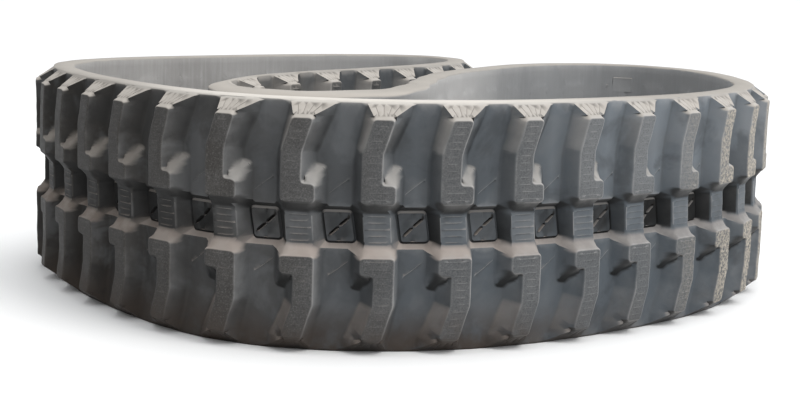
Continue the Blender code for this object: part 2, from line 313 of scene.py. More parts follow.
class Sketch:
    """A height map over one link: lines of known height, filled with triangles.

    A point is (along, across, height, contact, wear, hollow). The last three say how much of a
    contact face, a worn edge or a painted-shade crease the point is.
    """

    def __init__(self):
        self.points = []
        self.edges = []

    def line(self, path, height, contact=0.0, wear=0.0, hollow=0.0, closed=False):
        """Adds a line, with one height or one for each point."""
        first, count = len(self.points), len(path)
        heights = [height] * count if isinstance(height, float) else height
        self.points += [(p[0], p[1], h, contact, wear, hollow) for p, h in zip(path, heights)]
        self.edges += [(first + i, first + i + 1) for i in range(count - 1)]
        if closed:
            self.edges.append((first + count - 1, first))

    def turned(self):
        """Adds the same lines turned half round the core."""
        first = len(self.points)
        self.points += [(-p[0], WIDTH - p[1], *p[2:]) for p in self.points]
        self.edges += [(a + first, b + first) for a, b in self.edges]

    def triangles(self):
        """Points and triangles of the filled sketch."""
        points = np.array(self.points)
        on_border = np.abs(np.abs(points[:, 0]) - PITCH / 2) < SLACK
        points[on_border, 0] = np.sign(points[on_border, 0]) * PITCH / 2
        made = delaunay_2d_cdt([Vector(p[:2]) for p in points], self.edges, [], 0, SLACK, True)
        flat = np.array([v[:] for v in made[0]])
        values = np.array([
            points[origins[0], 2:] if origins else self.on_edge(place, points)
            for place, origins in zip(flat, made[3])
        ])
        return np.hstack([flat, values]), np.array([list(f) for f in made[2]])

    def on_edge(self, place, points):
        """Values where two lines cross, read along the nearest line."""
        a, b = points[[e[0] for e in self.edges]], points[[e[1] for e in self.edges]]
        share, gap = nearest(place, a[:, :2], b[:, :2])
        best = gap.argmin()
        return a[best, 2:] * (1 - share[best]) + b[best, 2:] * share[best]

    def filled(self, relative, step, clearance):
        """Triangles with finer points inside, and with lines whose heights are over the surface."""
        base, faces = self.triangles()
        row_step = 0.87 * step
        xs = np.arange(-PITCH / 2 + step / 2, PITCH / 2, step)
        ys = np.arange(step / 2, WIDTH, row_step)
        grid = np.array([(x + (step / 2 if j % 2 else 0), y) for j, y in enumerate(ys) for x in xs])
        grid = grid[np.abs(grid[:, 0]) < PITCH / 2 - clearance]
        for path, lifts, contact, wear, hollow in relative:
            found = surface_values(base, faces, np.array([p[:] for p in path]))
            found[:, 0] += lifts
            found[:, 1] *= contact
            found[:, 2] = np.maximum(found[:, 2], np.where(lifts == 0, 0, wear))
            found[:, 3] = np.maximum(found[:, 3], hollow)
            first = len(self.points)
            self.points += [(p[0], p[1], *v) for p, v in zip(path, found)]
            self.edges += [(first + i, first + i + 1) for i in range(len(path) - 1)]
        marks = np.array([p[:2] for p in self.points])
        a, b = marks[[e[0] for e in self.edges]], marks[[e[1] for e in self.edges]]
        grid = grid[[nearest(place, a, b)[1].min() > clearance for place in grid]]
        self.points += [(p[0], p[1], *v) for p, v in zip(grid, surface_values(base, faces, grid))]
        return self.triangles()


def surface_values(base, faces, places):
    """Values of a triangulated surface at places in its plane."""
    a, b, c = (base[faces[:, k]] for k in range(3))
    out = np.zeros((len(places), 4))
    thinnest = 1e-14
    det = (b[:, 0] - a[:, 0]) * (c[:, 1] - a[:, 1]) - (c[:, 0] - a[:, 0]) * (b[:, 1] - a[:, 1])
    det = np.where(np.abs(det) < thinnest, thinnest, det)
    for i, (x, y) in enumerate(places):
        v = ((x - a[:, 0]) * (c[:, 1] - a[:, 1]) - (c[:, 0] - a[:, 0]) * (y - a[:, 1])) / det
        w = ((b[:, 0] - a[:, 0]) * (y - a[:, 1]) - (x - a[:, 0]) * (b[:, 1] - a[:, 1])) / det
        best = np.minimum(np.minimum(v, w), 1 - v - w).argmax()
        share = np.clip([1 - v[best] - w[best], v[best], w[best]], 0, 1)
        out[i] = (share[0] * a[best, 2:] + share[1] * b[best, 2:] + share[2] * c[best, 2:]) / share.sum()
    return out


def border(sketch, heights, step):
    """The edges of the link: two across the belt, which meet the next links, and the two rims."""
    rows = sorted({z for z, _ in heights})
    table = dict(heights)
    marks = []
    for low, high in zip(rows, rows[1:]):
        parts = max(1, math.ceil((high - low) * WIDTH / step - SLACK))
        for k in range(parts):
            t = k / parts
            marks.append((low + (high - low) * t, table[low] * (1 - t) + table[high] * t))
    marks.append((rows[-1], table[rows[-1]]))
    for u in (-PITCH / 2, PITCH / 2):
        sketch.line([(u, z * WIDTH) for z, _ in marks], [n for _, n in marks])
    for z in (rows[0], rows[-1]):
        sketch.line([(u, z * WIDTH) for u in RIM_COLUMNS[1:-1]], table[z])


def half_turn(path):
    """A path turned half round the core."""
    return [Vector((-p[0], WIDTH - p[1])) for p in path]


def strip(path, half_width, lift, wear=0.0, hollow=0.0, rim=0.0, to_border=False):
    """Three lines beside each other that raise or cut the surface along a path.

    The strip tapers at both ends, or runs on into the next link where it ends on the border.
    """
    way = (path[-1] - path[-2]).normalized()
    lines = []
    for distance in (half_width, 0.0, -half_width):
        middle = distance == 0.0
        side = offset(path, distance, closed=False) if not middle else list(path)
        lifts = np.full(len(side), lift if middle else rim)
        lifts[0] = 0.0
        if to_border:
            side[-1] = Vector((path[-1].x, path[-1].y + distance / way.x))
        else:
            lifts[-1] = 0.0
        first, last = (0, len(side)) if middle else (1, len(side) if to_border else len(side) - 1)
        shares = (1.0, wear, hollow) if middle else (1.0, 0.0, 0.0)
        lines.append((side[first:last], lifts[first:last], *shares))
    return lines


def straight(a, b, parts):
    """A straight path between two places given in pitches and shares of the width."""
    start, end = (Vector((u * PITCH, z * WIDTH)) for u, z in (a, b))
    return [start.lerp(end, k / parts) for k in range(parts + 1)]


def contact_path():
    """The outline of the upper lug's contact face, clockwise, with rounded corners."""
    return spread(rounded(CONTACT_OUTLINE), OUTLINE_STEP, True)


def lug_lines(sketch):
    """The upper lug: its worn contact face, its shoulder, its feet and the webs from it to the rim."""
    outline = contact_path()
    for distance, drop, contact, wear in CONTACT_EDGE:
        sketch.line(offset(outline, distance * MM), CONTACT - drop * MM, contact, wear, closed=True)
    shoulder = offset(outline, SHOULDER)
    heights = []
    for inner, outer in zip(outline, shoulder):
        way = (outer - inner).normalized()
        drop = SHOULDER_DROP_ALONG * abs(way.x) + SHOULDER_DROP_ACROSS * abs(way.y)
        heights.append(CONTACT - drop * MM)
    sketch.line(shoulder, heights, wear=0.4, closed=True)
    scoop_top, scoop_bottom, scoop_points = 23.8, 14.0, 5
    scoop = straight((0.088, 0.699), (0.172, 0.7315), scoop_points - 1)
    sketch.line(scoop, list(np.linspace(scoop_top, scoop_bottom, scoop_points) * MM))
    for corners, side in ((LEFT_FOOT, 1), (RIGHT_FOOT, -1)):
        foot = spread(rounded(corners, closed=False), LONG_STEP, False)
        for distance, drop, hollow in FOOT_EDGE:
            moved = offset(foot, side * distance * MM, closed=False)
            sketch.line(moved[1:], CARCASS_TOP - drop * MM, hollow=hollow)
    for corner, rim in (((-0.090, 0.947), (-0.155, 0.985)), ((0.212, 0.947), (0.425, 0.985))):
        web = straight(corner, rim, 3)
        sketch.line(web, [height * MM for height in (24.9, 20.2, 15.6, 10.9)], wear=0.15)


def trench_lines(sketch):
    """The row of bridges and sprocket windows in the middle of the belt, upper half."""
    half = PITCH / 2
    ledge = TRENCH_TOP * WIDTH
    sketch.line([(-half, ledge), (-0.36 * PITCH, ledge)], CARCASS_TOP, wear=0.3)
    sketch.line([(0.375 * PITCH, ledge), (half, ledge)], CARCASS_TOP, wear=0.3)
    sketch.line(straight((BRIDGE_LEFT, BRIDGE_TOP), (BRIDGE_RIGHT, BRIDGE_TOP), 6), BRIDGE)
    side = straight((BRIDGE_RIGHT, BRIDGE_TOP), (-BRIDGE_LEFT, 1 - BRIDGE_TOP), 8)
    for distance, drop, wear in BRIDGE_EDGE:
        path = offset(side, distance * MM, closed=False)
        sketch.line(path[1:-1], BRIDGE - drop * MM, wear=wear)
    corners = (
        (0.5, WINDOW_TOP, 0), (WINDOW_NEAR, WINDOW_TOP, 4),
        (WINDOW_FAR, 1 - WINDOW_TOP, 4), (0.5, 1 - WINDOW_TOP, 0),
    )
    window = spread(rounded(corners, closed=False), OUTLINE_STEP, False)
    for distance, drop, hollow in SLIT_SKIN_EDGE:
        path = [Vector((min(p.x, half), p.y)) for p in offset(window, distance * MM, closed=False)]
        sketch.line(path, WINDOW_SKIN - drop * MM, hollow=hollow)


def mould_lines():
    """Thin raised lines across the contact face, where the mould's plates met."""
    inner = offset(contact_path(), -2.1 * MM)
    lines = []
    for share in MOULD_LINES:
        height = share * WIDTH
        crossings = []
        for a, b in zip(inner, inner[1:] + inner[:1]):
            if (a.y - height) * (b.y - height) < 0:
                crossings.append(a.x + (b.x - a.x) * (height - a.y) / (b.y - a.y))
        start, end = min(crossings), max(crossings)
        path = [Vector((start + (end - start) * k / 4, height)) for k in range(5)]
        lines += strip(path, 0.25 * MM, 0.08 * MM, wear=0.75)
    return lines


def bridge_lines():
    """Thin raised lines along the slanting bridge over each core."""
    lines = []
    half_length, slant = 0.175, 0.24
    for share in BRIDGE_LINES:
        shift = (share - 0.5) * slant
        path = straight((-half_length - shift, share), (half_length - shift, share), 5)
        lines += strip(path, 0.3 * MM, 0.15 * MM, wear=0.4)
    return lines


def tread_marks():
    """Everything on the tread that stands over its surface or is cut into it."""
    marks = mould_lines()
    # The cuts and the slit carry hollow, so they are filled with painted shade.
    for near, far in GUSSET_CUTS:
        marks += strip(straight((near, 0.949), (far, 0.983), 4), 0.35 * MM, -0.5 * MM, hollow=0.4)
    for start, end in CARCASS_LINES:
        marks += strip(straight(start, end, 4), 0.3 * MM, 0.16 * MM, wear=0.8, to_border=True)
    marks += strip(straight(*SLIT, 6), 1.7 * MM, -4.2 * MM, hollow=1.0, rim=0.3 * MM, to_border=True)
    marks += [(half_turn(path), *rest) for path, *rest in marks]
    return marks + bridge_lines()


def rim_profile(surface, edge):
    """Rows (share of width, height) that round the upper rim of a surface."""
    return [(1 - inset * MM / WIDTH, surface - drop * MM) for inset, drop in edge]


def rim_rows(sketch, rims):
    """Lines along both rims, which round their edges."""
    for z, n in rims[1:]:
        for share in (z, 1 - z):
            sketch.line([(u, share * WIDTH) for u in RIM_COLUMNS], n, wear=0.4)


def tread_template():
    """The outside of the belt over one link."""
    sketch = Sketch()
    lug_lines(sketch)
    trench_lines(sketch)
    sketch.turned()
    rims = rim_profile(CARCASS_TOP, TREAD_RIM)
    rows = rims + [(TRENCH_TOP, CARCASS_TOP), (WINDOW_TOP - 0.006, WINDOW_SKIN)]
    rows += [(1 - z, n) for z, n in rows] + [(0.5, WINDOW_SKIN)]
    border(sketch, rows, 7 * MM)
    rim_rows(sketch, rims)
    return sketch.filled(tread_marks(), 6.5 * MM, 1.9 * MM)


def box_outline(middle, half_length, half_width, radius):
    """A rounded rectangle round a place on the middle of the belt, clockwise."""
    u, v = half_length / PITCH, half_width / WIDTH
    sides = ((-1, 1), (1, 1), (1, -1), (-1, -1))
    corners = [(middle + i * u, 0.5 + j * v, radius) for i, j in sides]
    return spread(rounded(corners), LONG_STEP, True)


def half_window(grown):
    """The part of the window's edge that lies on this link, ahead of the core."""
    corner = (WINDOW_CORNER + grown) / MM
    outline = box_outline(0.5, PITCH / 2 - WINDOW_EDGE + grown, WINDOW_HALF_WIDTH + grown, corner)
    near = [p for p in outline if p.x < PITCH / 2 - 0.1 * MM]

    def jump(i):
        return abs(near[i].x - near[i - 1].x) + abs(near[i].y - near[i - 1].y)

    start = max(range(len(near)), key=jump)
    top = WIDTH / 2 + WINDOW_HALF_WIDTH + grown
    lowest, highest = Vector((PITCH / 2, WIDTH - top)), Vector((PITCH / 2, top))
    return [lowest] + near[start:] + near[:start] + [highest]


def in_window(places):
    """Whether places lie in the window that the border cuts in two."""
    u = PITCH / 2 - np.abs(places[:, 0])
    v = np.abs(places[:, 1] - WIDTH / 2)
    inside = (u < PITCH / 2 - WINDOW_EDGE) & (v < WINDOW_HALF_WIDTH)
    over_u = u - (PITCH / 2 - WINDOW_EDGE - WINDOW_CORNER)
    over_v = v - (WINDOW_HALF_WIDTH - WINDOW_CORNER)
    return inside & ~((over_u > 0) & (over_v > 0) & (np.hypot(over_u, over_v) > WINDOW_CORNER))


def without_window(template):
    """The same template with the window left open."""
    points, faces = template
    middles = points[faces][:, :, :2].mean(axis=1)
    return points, faces[~in_window(middles)]


def roller_template():
    """The inside of the belt over one link: smooth rubber, swollen a little over each core."""
    sketch = Sketch()
    for grown, drop, hollow in OPEN_WINDOW_EDGE:
        sketch.line(half_window(grown * MM), ROLLER_FACE - drop * MM, hollow=hollow)
    for half_length, half_width, height, wear in CORE_SWELLING:
        outline = box_outline(0, half_length * MM, half_width * MM, SWELLING_CORNER)
        sketch.line(outline, ROLLER_FACE - height * MM, wear=wear, closed=True)
    sketch.turned()
    rims = rim_profile(ROLLER_FACE, ROLLER_RIM)
    border(sketch, rims + [(1 - z, n) for z, n in rims], 9 * MM)
    rim_rows(sketch, rims)
    return without_window(sketch.filled([], 9 * MM, 2.5 * MM))


def hidden_template(window):
    """The flat side of a layer that lies against the next layer."""
    sketch = Sketch()
    if window:
        sketch.line(half_window(0.0), SEAM)
        sketch.turned()
    border(sketch, [(1.0, SEAM), (0.0, SEAM)], 30 * MM)
    filled = sketch.filled([], 24 * MM, 6 * MM)
    return without_window(filled) if window else filled


# ---- the endless rubber


def ring(template, flip):
    """One link's template repeated round the loop, with the links joined at their borders."""
    points, faces = template
    left = np.flatnonzero(points[:, 0] < -PITCH / 2 + SLACK)
    right = np.flatnonzero(points[:, 0] > PITCH / 2 - SLACK)
    left, right = left[points[left, 1].argsort()], right[points[right, 1].argsort()]
    gap = np.abs(points[left, 1] - points[right, 1]).max() if len(left) == len(right) else None
    if gap is None or gap > 0.1 * MM:
        raise ValueError(f"the two borders of a link don't match: {len(left)}, {len(right)}, {gap}")
    kept = np.setdiff1d(np.arange(len(points)), left)
    count = len(kept)
    place = np.zeros(len(points), int)
    place[kept] = np.arange(count)
    place[left] = place[right] - count
    every = place[faces][None] + np.arange(LINKS)[:, None, None] * count
    every = every.reshape(-1, 3) % (count * LINKS)
    values = np.tile(points[kept], (LINKS, 1))
    values[:, 0] += np.repeat(np.arange(LINKS) * PITCH, count)
    return values, every[:, ::-1] if flip else every


def edge_key(point):
    """A place on the belt to the nearest tenth of a millimetre."""
    tenth = 0.1 * MM
    return round(point[0] / tenth) % round(LOOP / tenth), round(point[1] / tenth)


def stitch(first, second):
    """Two rings joined along their open edges, which lie over each other, into one closed shell."""
    points = np.vstack([first[0], second[0]])
    shift = len(first[0])
    keys = {edge_key(p): i + shift for i, p in enumerate(second[0])}
    faces = [tuple(f) for f in first[1]] + [tuple(f) for f in second[1] + shift]
    ways = {(f[k], f[(k + 1) % 3]) for f in first[1].tolist() for k in range(3)}
    for a, b in sorted(ways):
        if (b, a) not in ways:
            faces.append((b, a, keys[edge_key(points[a])], keys[edge_key(points[b])]))
    return points, faces


def waves(places, lengths, seed):
    """A smooth uneven field between about -1 and 1, from waves in many directions."""
    draw = np.random.default_rng(seed)
    waves_of_each, spread_of_each = 5, 2.2
    total = np.zeros(len(places))
    for length in lengths:
        for _ in range(waves_of_each):
            way = draw.normal(size=3)
            way *= 2 * math.pi / length / np.linalg.norm(way)
            total += np.sin(places @ way + draw.uniform(0, 2 * math.pi))
    return total / (spread_of_each * math.sqrt(len(lengths)))


def raised(outline, link, across, height):
    """A small closed plate that stands over the roller face: its points and faces."""
    sunk = (-0.2 * MM, 1.2 * MM)
    foot = (0.0, 0.0)
    shoulder = (0.5 * MM, -height)
    top = (1.1 * MM, -0.85 * height)
    points, faces = [], []
    for inset, n in (sunk, foot, shoulder, top):
        wear = 0.3 if n < 0 else 0.0
        for p in offset(outline, -inset):
            points.append((p.x + link * PITCH, p.y + across, ROLLER_FACE + n, 0.0, wear, 0.0))
    count = len(outline)
    for first in range(0, 3 * count, count):
        for i in range(count):
            j = (i + 1) % count
            faces.append((first + i, first + j, first + count + j, first + count + i))
    faces.append(tuple(range(3 * count, 4 * count)))
    faces.append(tuple(reversed(range(count))))
    return np.array(points), faces


def moulded_pad():
    """The blank pad and the stud beside it, on the inner face at the back of the right lobe."""
    pad = raised(box_outline(0, 17 * MM, 10.5 * MM, 2.5), 13.80, 96.3 * MM, 0.9 * MM)
    stud = raised(box_outline(0, 1.9 * MM, 1.9 * MM, 1.9), 14.14, 94.5 * MM, 1.6 * MM)
    points = np.vstack([pad[0], stud[0]])
    return points, pad[1] + [tuple(i + len(pad[0]) for i in face) for face in stud[1]]


def add_object(name, data):
    """A new object in the scene."""
    made = bpy.data.objects.new(name, data)
    bpy.context.scene.collection.objects.link(made)
    return made


def rubber_piece(name, first, second, uneven, nodes, surface, extra=None):
    """An endless layer of rubber, as a piece that replaces its CAD node."""
    points, faces = stitch(first, second)
    if extra:
        faces += [tuple(i + len(points) for i in face) for face in extra[1]]
        points = np.vstack([points, extra[0]])
    s, z, n = points[:, 0], points[:, 1], points[:, 2]
    seen = np.abs(n - SEAM) > SLACK
    rim = np.minimum(z, WIDTH - z) < 0.05 * MM
    turn, radius = 2 * math.pi * s / LOOP, LOOP / (2 * math.pi)
    drum = np.column_stack([radius * np.cos(turn), radius * np.sin(turn), z])
    n = n + np.where(seen & ~rim, uneven * waves(drum, UNEVEN_LENGTHS, UNEVEN_SEED), 0.0)
    mesh = bpy.data.meshes.new(name)
    mesh.from_pydata(belt_points(s, n, z).tolist(), [], faces)
    for label, column in (("contact", 3), ("wear", 4), ("hollow", 5)):
        values = mesh.attributes.new(label, "FLOAT", "POINT").data
        values.foreach_set("value", points[:, column].astype(np.float32))
    belt = np.column_stack([s, z, n]).astype(np.float32)
    mesh.attributes.new("belt", "FLOAT_VECTOR", "POINT").data.foreach_set("vector", belt.ravel())
    shape = bmesh.new()
    shape.from_mesh(mesh)
    bmesh.ops.delete(shape, geom=[v for v in shape.verts if not v.link_faces], context="VERTS")
    shape.to_mesh(mesh)
    shape.free()
    mesh.shade_smooth()
    mesh.set_sharp_from_angle(angle=math.radians(42))
    mesh.materials.append(surface)
    piece = add_object(name, mesh)
    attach(piece, "root")
    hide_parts(*nodes)


# ---- steel cores


def steel_core(surface):
    """The forged core that every link shares, with rounded edges: wings, saddle and two guide horns."""
    shape = bmesh.new()

    def block(low, high, tip_x=1.0, tip_z=1.0):
        """A box whose face towards the rollers may be smaller."""
        middle = [(a + b) / 2 for a, b in zip(low, high)]
        half = [(b - a) / 2 for a, b in zip(low, high)]
        for vertex in bmesh.ops.create_cube(shape, size=1)["verts"]:
            shares = (tip_x, 1.0, tip_z) if vertex.co.y > 0 else (1.0, 1.0, 1.0)
            vertex.co = [middle[k] + math.copysign(half[k] * shares[k], vertex.co[k]) for k in range(3)]

    block((-13.2 * MM, 2.6 * MM, -CORE_REACH), (13.2 * MM, 10 * MM, CORE_REACH))
    block((-12.8 * MM, 3.6 * MM, -SADDLE_REACH), (12.8 * MM, SADDLE_FAR, SADDLE_REACH), 0.92, 0.99)
    half_length, half_width, horn_foot = 12 * MM, 8 * MM, 12 * MM
    for across in (-HORN_OFFSET, HORN_OFFSET):
        block((-half_length, horn_foot, across - half_width), (half_length, HORN_TIP, across + half_width),
              0.5, 0.5)
    mesh = bpy.data.meshes.new("steel_core_shape")
    shape.to_mesh(mesh)
    shape.free()
    draft = add_object("core_draft", mesh)
    for kind, values in (
        ("REMESH", {"mode": "VOXEL", "voxel_size": 0.8 * MM}),
        ("SMOOTH", {"factor": 0.6, "iterations": 5}),
        ("DECIMATE", {"ratio": 0.06}),
    ):
        step = draft.modifiers.new(kind, kind)
        for key, value in values.items():
            setattr(step, key, value)
    smooth = bpy.data.meshes.new_from_object(draft.evaluated_get(bpy.context.evaluated_depsgraph_get()))
    bpy.data.objects.remove(draft)
    smooth.shade_smooth()
    smooth.set_sharp_from_angle(angle=math.radians(50))
    smooth.materials.append(surface)
    return smooth


def core_matrix(link):
    """Frame of a core: X along the belt, Y towards the rollers, Z across the belt."""
    origin, ahead, inside, across = belt_points(
        np.array([0, HALF_CORE, 0, 0]) + link * PITCH,
        np.array([0, 0, -MM, 0]),
        np.array([0, 0, 0, MM]) + WIDTH / 2,
    )
    axes = [(p - origin) / np.linalg.norm(p - origin) for p in (ahead, inside, across)]
    return Matrix([[axes[0][k], axes[1][k], axes[2][k], origin[k]] for k in range(3)] + [[0, 0, 0, 1]])


def place_cores(surface):
    """One forged core in each link."""
    mesh = steel_core(surface)
    for link in range(LINKS):
        piece = add_object(f"forged_core_{link + 1:02d}", mesh)
        piece.matrix_world = core_matrix(link)
        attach(piece, "root")
        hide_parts(f"steel_core_{link + 1:02d}")


# ---- materials


class Nodes:
    """Short calls for building the node tree of a material or of the world."""

    def __init__(self, owner, shader="Principled BSDF"):
        owner.use_nodes = True
        self.tree = owner.node_tree
        self.shader = self.tree.nodes[shader]

    def set(self, name, value):
        """Feeds one of the shader's own inputs."""
        self.feed(self.shader.inputs[name], value)

    def add(self, kind, inputs=(), output=0, **settings):
        """A node with its settings and inputs, given by name or number. Returns one of its outputs."""
        node = self.tree.nodes.new("ShaderNode" + kind)
        for key, value in settings.items():
            setattr(node, key, value)
        for key, value in dict(inputs).items():
            self.feed(node.inputs[key], value)
        return node.outputs[output]

    def feed(self, socket, value):
        """Links a socket to an output, or sets its value."""
        if isinstance(value, bpy.types.NodeSocket):
            self.tree.links.new(value, socket)
        else:
            socket.default_value = value

    def math(self, operation, a, b=0.0, clamp=False):
        """A sum on one or two values."""
        return self.add("Math", {0: a, 1: b}, operation=operation, use_clamp=clamp)

    def times(self, a, b, clamp=False):
        """The product of two values."""
        return self.math("MULTIPLY", a, b, clamp)

    def part(self, vector, axis):
        """One part of a vector, where 0 is X, 1 is Y and 2 is Z."""
        return self.add("SeparateXYZ", {0: vector}, output=axis)

    def mix(self, share, a, b):
        """A colour between two colours."""
        return self.add("Mix", {"Factor": share, 6: a, 7: b}, output=2, data_type="RGBA")

    def shift(self, value, low, high, to_low=0.0, to_high=1.0):
        """A value carried from one range to another, smoothly and within its ends."""
        inputs = {"Value": value, "From Min": low, "From Max": high, "To Min": to_low, "To Max": to_high}
        return self.add("MapRange", inputs, interpolation_type="SMOOTHSTEP")

    def noise(self, vector, scale, detail=4.0, roughness=0.55, distortion=0.0):
        """Noise over places."""
        inputs = {"Vector": vector, "Scale": scale, "Detail": detail, "Roughness": roughness}
        return self.add("TexNoise", {**inputs, "Distortion": distortion})

    def attribute(self, name):
        """A value stored on the mesh's points."""
        return self.add("Attribute", output=2, attribute_name=name)

    def scaled(self, vector, scales):
        """A vector with each part scaled."""
        return self.add("VectorMath", {0: vector, 1: scales}, operation="MULTIPLY")


# Painted shade for hollows and cuts.
HOLLOW_SHADE = (0.014, 0.013, 0.012, 1)
# Wet soil, and painted shade low down.
SOIL_AND_SHADE = (0.050, 0.039, 0.032, 1)
DRY_SOIL = (0.42, 0.375, 0.31, 1)


def grey(value, warm=0.0):
    """A grey as linear colour, warmer or, below zero, bluer."""
    return (value * (1 + warm), value, value * (1 - warm), 1.0)


class Rubber(Nodes):
    """A rubber material, and what its colours depend on: place, slope, wear and noise.

    The right of the fold is painted paler and bluer, as painted sheen, and the left darker and warmer, as
    painted shade; its last lugs are crusted with soil.
    """

    def __init__(self, owner):
        super().__init__(owner)
        self.place = self.add("TexCoord", output=3)
        self.along, self.depth, self.height = (self.part(self.place, axis) for axis in range(3))
        self.from_middle = self.math("ABSOLUTE", self.along)
        facing = self.add("NewGeometry", output=1)
        self.rightward, self.up = self.part(facing, 0), self.part(facing, 2)
        self.belt = self.add("Attribute", output=1, attribute_name="belt")
        self.across, self.over = self.part(self.belt, 1), self.part(self.belt, 2)
        self.contact, self.wear, self.hollow = map(self.attribute, ("contact", "wear", "hollow"))
        self.blotch = self.noise(self.place, 9.0, 5.0)
        self.patch = self.noise(self.place, 38.0, 6.0, 0.62)
        self.grain = self.noise(self.place, 620.0, 3.0, 0.7)
        # right rises from the left end towards the right of the fold. On the tread it carries painted light:
        # darker, warmer shade on the left and a paler, bluer sheen on the right. On the roller face it only
        # makes the right cooler and darker.
        uneven = self.times(self.math("SUBTRACT", self.blotch, 0.5), 0.3)
        self.right = self.shift(self.math("ADD", self.along, uneven), -0.35, 0.25)

    def layered(self, colour, *layers):
        """A colour with layers over it, given as (where, how much, colour), the lowest first."""
        for where, share, layer in layers:
            colour = self.mix(self.times(where, share), colour, layer)
        return colour

    def smooth_face(self):
        """The roller face: streaks along the belt, a cooler right and a pale patch."""
        streak = self.noise(self.scaled(self.belt, (260.0, 14.0, 260.0)), 1.0, 4.0, 0.6)
        base = self.mix(self.shift(self.blotch, 0.35, 0.65), grey(0.27, 0.03), grey(0.33, 0.03))
        pale = self.times(self.shift(self.along, 0.15, 0.06), self.shift(self.along, -0.01, 0.03))
        return self.layered(
            base,
            (self.shift(streak, 0.4, 0.75), 0.4, grey(0.40, 0.01)),
            (self.right, 0.6, grey(0.225, -0.06)),
            (pale, 0.7, grey(0.50, 0.02)),
        )

    def flanks(self, painted_sky_light, broad):
        """The tread beside and between its contact faces, with painted shade on the left and in the windows,
        and a painted sheen on the upper right.
        """
        left = self.shift(self.along, -0.12, -0.42)
        dark = self.shift(self.from_middle, 0.08, 0.24, 0.5, 0.98)
        # A dark warm base on the left as painted shade, turning to a paler blue-grey on the right as painted
        # sheen.
        base = self.mix(self.right, grey(0.056, 0.06), grey(0.094, -0.14))
        return self.layered(
            base,
            (self.shift(self.patch, 0.45, 0.7), 0.25, grey(0.12, -0.05)),
            # At the left end: nearly black painted shade on what faces away from the right, and a painted
            # bluish light on what faces right.
            (left, self.shift(self.rightward, 0.75, 0.15, 0.0, 0.9), grey(0.010, 0.2)),
            (left, self.shift(self.rightward, 0.4, 0.85), grey(0.088, -0.16)),
            # Painted shade in the low window skins, deeper towards both ends.
            (self.shift(self.over, 0.0042, 0.003), dark, grey(0.012, -0.05)),
            # Painted light, pale and bluish, on the upper right.
            (painted_sky_light, 0.5, grey(0.23, -0.09)),
            (self.shift(broad, 0.50, 0.64), 0.3, grey(0.15, -0.04)),
            (self.shift(broad, 0.48, 0.36), 0.35, grey(0.026)),
        )

    def contact_faces(self, painted_sky_light):
        """The flat tops of the lugs, speckled by wear, with painted shade on the left and a paler painted
        sheen on the upper right.
        """
        # Painted shade: darker and warmer on the left, paler on the right.
        base = self.mix(self.right, grey(0.036, 0.13), grey(0.094, -0.04))
        return self.layered(
            base,
            (self.shift(self.patch, 0.42, 0.66), 0.2, grey(0.14, 0.02)),
            (painted_sky_light, 0.4, grey(0.20, -0.03)),
            (self.shift(self.grain, 0.52, 0.68), 0.35, grey(0.19, 0.03)),
            (self.shift(self.grain, 0.48, 0.34), 0.45, grey(0.02, 0.03)),
        )

    def tread_face(self):
        """The tread, with painted shade underneath, on what faces left and in the unlit trench."""
        # Painted light: paler towards the upper right of the fold.
        painted_sky_light = self.times(self.shift(self.along, 0.08, 0.26), self.shift(self.height, 0.13, 0.18))
        broad = self.noise(self.place, 15.0, 4.0, 0.6, 0.4)
        from_trench = self.math("ABSOLUTE", self.math("SUBTRACT", self.across, WIDTH / 2))
        trench = self.shift(from_trench, 0.020, 0.014)
        sunken = self.shift(self.over, 0.0185, 0.0165)
        ends = self.shift(self.from_middle, 0.12, 0.30, 0.0, 0.95)
        turned_left = self.shift(self.rightward, -0.25, -0.75, 0.0, 0.85)
        unlit = self.math("MAXIMUM", turned_left, self.times(ends, sunken))
        return self.layered(
            self.flanks(painted_sky_light, broad),
            (self.contact, 0.9, self.contact_faces(painted_sky_light)),
            # Painted shade under what faces down and on what faces left, and in the trench where it is
            # unlit.
            (self.shift(self.up, -0.08, -0.5), 0.92, grey(0.011)),
            (self.shift(self.rightward, -0.35, -0.95), 0.5, grey(0.028, -0.05)),
            (trench, unlit, grey(0.010)),
        )

    def dust_and_top_light(self):
        """How much dust lies on it, which also paints light from above: most on what faces up, and less on
        the right.
        """
        loose = self.times(self.math("SUBTRACT", self.patch, 0.5), 0.25)
        # The pale cover on what faces up is dust and painted light from above.
        level = self.math("ADD", self.shift(self.up, 0.05, 0.62), loose)
        cover = self.times(level, self.shift(self.up, 0.03, 0.25), clamp=True)
        clean = self.times(self.shift(self.along, 0.10, 0.32), self.shift(self.up, 0.60, 0.30, 0.0, 0.9))
        return self.times(cover, self.math("SUBTRACT", 1.0, clean))

    def dust_and_light_colour(self):
        """The dust's colour: one on the low ledges, one in the scoops, and paler on the upper rim; it is
        darker on the left as painted shade, and the paler front of the rim is partly painted light.
        """
        left = self.shift(self.along, -0.12, -0.32)
        right = self.shift(self.along, 0.02, 0.28)
        ledge = self.mix(right, (0.33, 0.285, 0.255, 1), (0.20, 0.19, 0.185, 1))
        # Darker ledge and scoop dust on the left is painted shade.
        ledge = self.mix(left, ledge, (0.15, 0.125, 0.108, 1))
        scoop = self.mix(left, (0.29, 0.28, 0.267, 1), (0.20, 0.18, 0.16, 1))
        # The rim's paler front is dust and painted light.
        rim = self.mix(self.shift(self.depth, -0.42, -0.24), (0.55, 0.52, 0.48, 1), (0.30, 0.28, 0.255, 1))
        dust = self.mix(self.shift(self.height, 0.115, 0.150), ledge, scoop)
        dust = self.mix(self.shift(self.height, 0.195, 0.232), dust, (0.37, 0.342, 0.31, 1))
        dust = self.mix(self.shift(self.height, 0.2450, 0.2485), dust, rim)
        return self.layered(dust, (self.shift(self.patch, 0.4, 0.65), 0.2, (0.40, 0.375, 0.345, 1)))

